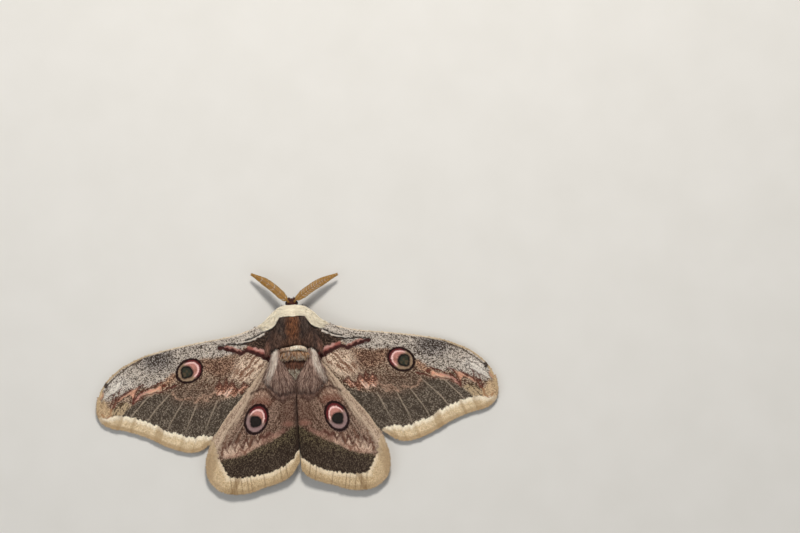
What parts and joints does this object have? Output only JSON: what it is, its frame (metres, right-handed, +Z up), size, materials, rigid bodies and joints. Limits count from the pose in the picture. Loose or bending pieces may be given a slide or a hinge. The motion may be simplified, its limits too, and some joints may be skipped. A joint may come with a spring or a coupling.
{
  "type": "giant peacock moth",
  "caption": "Life-size still model of a male giant peacock moth at rest with its wings spread flat, for display.",
  "frame": {"origin": "under the middle of the whole animal, on the surface that its feet and the underside of its abdomen rest on", "axes": "+Y towards the head, +X to the moth's right, +Z up out of its back"},
  "size_m": [0.1296, 0.0718, 0.0113],
  "materials": {
    "head_fur": "dark brown fur",
    "collar_fur": "cream fur",
    "thorax_fur": "black-brown fur",
    "abdomen_fur": "pale banded fur",
    "forewing_scales": "speckled grey-brown scales with an eyespot and a cream border",
    "hindwing_scales": "speckled brown scales with an eyespot and a cream border",
    "antenna_ochre": "golden ochre horn with fine hairs",
    "leg_fur": "short brown fur",
    "eye_gloss": "dark glossy facets"
  },
  "bodies": {
    "root": {"head": "head_fur", "collar": "collar_fur", "thorax": "thorax_fur", "abdomen": "abdomen_fur", "eye_left": "eye_gloss", "eye_right": "eye_gloss", "antenna_left": "antenna_ochre", "antenna_right": "antenna_ochre", "forewing_left": "forewing_scales", "forewing_right": "forewing_scales", "hindwing_left": "hindwing_scales", "hindwing_right": "hindwing_scales", "leg_front_left": "leg_fur", "leg_front_right": "leg_fur", "leg_mid_left": "leg_fur", "leg_mid_right": "leg_fur", "leg_hind_left": "leg_fur", "leg_hind_right": "leg_fur"}
  },
  "joints": []
}
